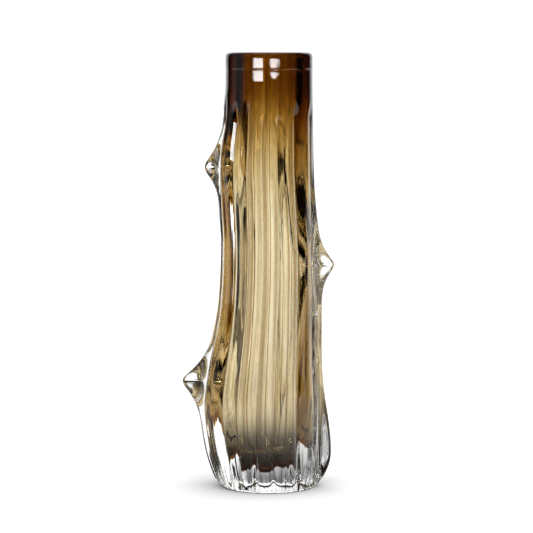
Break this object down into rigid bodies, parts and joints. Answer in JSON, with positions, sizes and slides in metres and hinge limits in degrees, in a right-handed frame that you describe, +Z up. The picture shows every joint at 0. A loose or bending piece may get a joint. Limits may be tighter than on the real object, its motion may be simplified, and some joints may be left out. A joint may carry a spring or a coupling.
{
  "type": "art glass vase",
  "caption": "Tall hand blown vase: a clear lining, an amber overlay and a clear ribbed casing with side fins, pulled thorns and a thick ground foot.",
  "frame": {"origin": "centre of the ground face that the vase stands on, on the neck's axis", "axes": "+Z up along the neck's axis; +X to the side with the one thorn, -Y to the front"},
  "size_m": [0.1555, 0.1108, 0.44],
  "materials": {
    "lining_glass": "clear, fire polished",
    "amber_glass": "transparent amber brown, fused inside clear glass",
    "clear_glass": "clear, fire polished",
    "foot_glass": "clear, ground and polished flat"
  },
  "bodies": {
    "root": {"inner_lining": "lining_glass", "amber_overlay": "amber_glass", "clear_casing": "clear_glass", "ground_foot": "foot_glass", "thorn_upper_left": "clear_glass", "thorn_right": "clear_glass", "thorn_lower_left": "clear_glass"}
  },
  "joints": []
}
